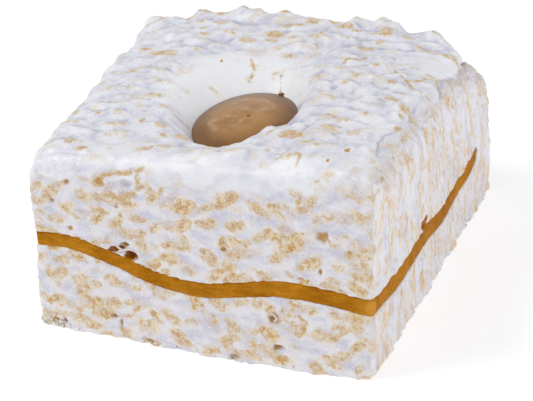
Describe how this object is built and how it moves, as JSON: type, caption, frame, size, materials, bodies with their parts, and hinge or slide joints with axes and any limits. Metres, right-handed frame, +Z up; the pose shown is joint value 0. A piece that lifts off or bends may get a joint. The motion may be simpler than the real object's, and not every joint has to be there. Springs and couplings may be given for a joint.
{
  "type": "puffed rice treat with caramel",
  "caption": "Hand-cut square of puffed rice and marshmallow with a wavy caramel layer through it and a caramel pool in a dimple on top.",
  "frame": {"origin": "middle of the bounding box's bottom, on the surface the treat stands on", "axes": "+Z up through the dimple, -Y towards the front side, +X to the right of it"},
  "size_m": [0.0816, 0.0852, 0.0439],
  "materials": {
    "marshmallow_rice": "satin white marshmallow with tan puffed rice",
    "caramel": "smooth satin caramel, cut edge",
    "pool_caramel": "smooth satin caramel, poured and set"
  },
  "bodies": {
    "root": {"rice_top": "marshmallow_rice", "rice_base": "marshmallow_rice", "caramel_layer": "caramel", "caramel_pool": "pool_caramel"}
  },
  "joints": []
}
